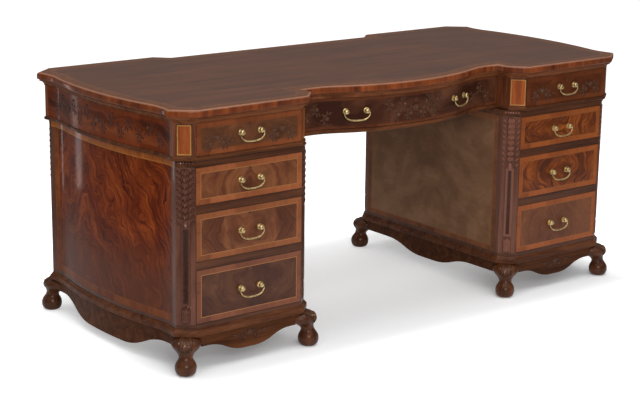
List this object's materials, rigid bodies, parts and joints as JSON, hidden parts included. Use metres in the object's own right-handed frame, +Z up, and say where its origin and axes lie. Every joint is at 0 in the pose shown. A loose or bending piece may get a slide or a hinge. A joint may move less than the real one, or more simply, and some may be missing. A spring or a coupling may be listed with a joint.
{
  "type": "pedestal desk",
  "caption": "Serpentine-ended pedestal desk with canted corners, bowed kneehole drawer, banded drawer fronts, swing bail handles and short carved bracket feet.",
  "frame": {"origin": "on the floor, under the middle of the top's bounding box", "axes": "+X to the right of the person sitting at it, along the length; the drawers and kneehole open towards -Y; +Z up"},
  "size_m": [1.868, 0.838, 0.78],
  "materials": {
    "mahogany": "polished",
    "flame_mahogany": "polished, crossbanded",
    "drawer_lining": "plain",
    "brass": "lacquered"
  },
  "bodies": {
    "desk": {"top_board": "mahogany", "top_moulding": "mahogany", "frieze_end_left": "mahogany", "frieze_end_right": "mahogany", "frieze_corner_blocks": "mahogany", "frieze_back_boards": "mahogany", "frieze_partitions": "mahogany", "frieze_drawer_guides": "drawer_lining", "frieze_base_board": "mahogany", "left_end_panel": "mahogany", "right_end_panel": "mahogany", "left_inner_panel": "mahogany", "right_inner_panel": "mahogany", "left_back_panel": "mahogany", "right_back_panel": "mahogany", "pedestal_tops": "mahogany", "pedestal_bottoms": "mahogany", "corner_posts": "mahogany", "left_rails_and_runners": "mahogany", "right_rails_and_runners": "mahogany", "plinth_mouldings": "mahogany", "aprons": "mahogany", "feet": "mahogany"},
    "frieze_left_drawer": {"frieze_left_drawer_front": "flame_mahogany", "frieze_left_drawer_box": "drawer_lining", "frieze_left_drawer_fittings": "brass"},
    "frieze_left_drawer_bail": {"frieze_left_drawer_bail": "brass"},
    "frieze_centre_drawer": {"frieze_centre_drawer_front": "flame_mahogany", "frieze_centre_drawer_box": "drawer_lining", "frieze_centre_drawer_fittings": "brass"},
    "frieze_centre_drawer_left_bail": {"frieze_centre_drawer_left_bail": "brass"},
    "frieze_centre_drawer_right_bail": {"frieze_centre_drawer_right_bail": "brass"},
    "frieze_right_drawer": {"frieze_right_drawer_front": "flame_mahogany", "frieze_right_drawer_box": "drawer_lining", "frieze_right_drawer_fittings": "brass"},
    "frieze_right_drawer_bail": {"frieze_right_drawer_bail": "brass"},
    "left_upper_drawer": {"left_upper_drawer_front": "flame_mahogany", "left_upper_drawer_box": "drawer_lining", "left_upper_drawer_fittings": "brass"},
    "left_upper_drawer_bail": {"left_upper_drawer_bail": "brass"},
    "left_middle_drawer": {"left_middle_drawer_front": "flame_mahogany", "left_middle_drawer_box": "drawer_lining", "left_middle_drawer_fittings": "brass"},
    "left_middle_drawer_bail": {"left_middle_drawer_bail": "brass"},
    "left_lower_drawer": {"left_lower_drawer_front": "flame_mahogany", "left_lower_drawer_box": "drawer_lining", "left_lower_drawer_fittings": "brass"},
    "left_lower_drawer_bail": {"left_lower_drawer_bail": "brass"},
    "right_upper_drawer": {"right_upper_drawer_front": "flame_mahogany", "right_upper_drawer_box": "drawer_lining", "right_upper_drawer_fittings": "brass"},
    "right_upper_drawer_bail": {"right_upper_drawer_bail": "brass"},
    "right_middle_drawer": {"right_middle_drawer_front": "flame_mahogany", "right_middle_drawer_box": "drawer_lining", "right_middle_drawer_fittings": "brass"},
    "right_middle_drawer_bail": {"right_middle_drawer_bail": "brass"},
    "right_lower_drawer": {"right_lower_drawer_front": "flame_mahogany", "right_lower_drawer_box": "drawer_lining", "right_lower_drawer_fittings": "brass"},
    "right_lower_drawer_bail": {"right_lower_drawer_bail": "brass"}
  },
  "joints": [
    {"name": "frieze_left_drawer_slide", "type": "slide", "parent": "desk", "child": "frieze_left_drawer", "axis": [0, -1, 0], "range_m": [0, 0.45]},
    {"name": "frieze_left_drawer_bail_swing", "type": "hinge", "parent": "frieze_left_drawer", "child": "frieze_left_drawer_bail", "pos_m": [-0.64965, -0.411, 0.697], "axis": [-1, 0, 0], "range_deg": [-15, 120]},
    {"name": "frieze_centre_drawer_slide", "type": "slide", "parent": "desk", "child": "frieze_centre_drawer", "axis": [0, -1, 0], "range_m": [0, 0.42]},
    {"name": "frieze_centre_drawer_left_bail_swing", "type": "hinge", "parent": "frieze_centre_drawer", "child": "frieze_centre_drawer_left_bail", "pos_m": [-0.21529, -0.35348, 0.697], "axis": [-0.9487, 0.3161, 0], "range_deg": [-15, 120]},
    {"name": "frieze_centre_drawer_right_bail_swing", "type": "hinge", "parent": "frieze_centre_drawer", "child": "frieze_centre_drawer_right_bail", "pos_m": [0.21529, -0.35348, 0.697], "axis": [-0.9487, -0.3161, 0], "range_deg": [-15, 120]},
    {"name": "frieze_right_drawer_slide", "type": "slide", "parent": "desk", "child": "frieze_right_drawer", "axis": [0, -1, 0], "range_m": [0, 0.45]},
    {"name": "frieze_right_drawer_bail_swing", "type": "hinge", "parent": "frieze_right_drawer", "child": "frieze_right_drawer_bail", "pos_m": [0.64965, -0.411, 0.697], "axis": [-1, 0, 0], "range_deg": [-15, 120]},
    {"name": "left_upper_drawer_slide", "type": "slide", "parent": "desk", "child": "left_upper_drawer", "axis": [0, -1, 0], "range_m": [0, 0.45]},
    {"name": "left_upper_drawer_bail_swing", "type": "hinge", "parent": "left_upper_drawer", "child": "left_upper_drawer_bail", "pos_m": [-0.64294, -0.402, 0.5555], "axis": [-1, 0, 0], "range_deg": [-15, 120]},
    {"name": "left_middle_drawer_slide", "type": "slide", "parent": "desk", "child": "left_middle_drawer", "axis": [0, -1, 0], "range_m": [0, 0.45]},
    {"name": "left_middle_drawer_bail_swing", "type": "hinge", "parent": "left_middle_drawer", "child": "left_middle_drawer_bail", "pos_m": [-0.64294, -0.402, 0.405], "axis": [-1, 0, 0], "range_deg": [-15, 120]},
    {"name": "left_lower_drawer_slide", "type": "slide", "parent": "desk", "child": "left_lower_drawer", "axis": [0, -1, 0], "range_m": [0, 0.45]},
    {"name": "left_lower_drawer_bail_swing", "type": "hinge", "parent": "left_lower_drawer", "child": "left_lower_drawer_bail", "pos_m": [-0.64294, -0.402, 0.229], "axis": [-1, 0, 0], "range_deg": [-15, 120]},
    {"name": "right_upper_drawer_slide", "type": "slide", "parent": "desk", "child": "right_upper_drawer", "axis": [0, -1, 0], "range_m": [0, 0.45]},
    {"name": "right_upper_drawer_bail_swing", "type": "hinge", "parent": "right_upper_drawer", "child": "right_upper_drawer_bail", "pos_m": [0.64294, -0.402, 0.5555], "axis": [-1, 0, 0], "range_deg": [-15, 120]},
    {"name": "right_middle_drawer_slide", "type": "slide", "parent": "desk", "child": "right_middle_drawer", "axis": [0, -1, 0], "range_m": [0, 0.45]},
    {"name": "right_middle_drawer_bail_swing", "type": "hinge", "parent": "right_middle_drawer", "child": "right_middle_drawer_bail", "pos_m": [0.64294, -0.402, 0.405], "axis": [-1, 0, 0], "range_deg": [-15, 120]},
    {"name": "right_lower_drawer_slide", "type": "slide", "parent": "desk", "child": "right_lower_drawer", "axis": [0, -1, 0], "range_m": [0, 0.45]},
    {"name": "right_lower_drawer_bail_swing", "type": "hinge", "parent": "right_lower_drawer", "child": "right_lower_drawer_bail", "pos_m": [0.64294, -0.402, 0.229], "axis": [-1, 0, 0], "range_deg": [-15, 120]}
  ]
}
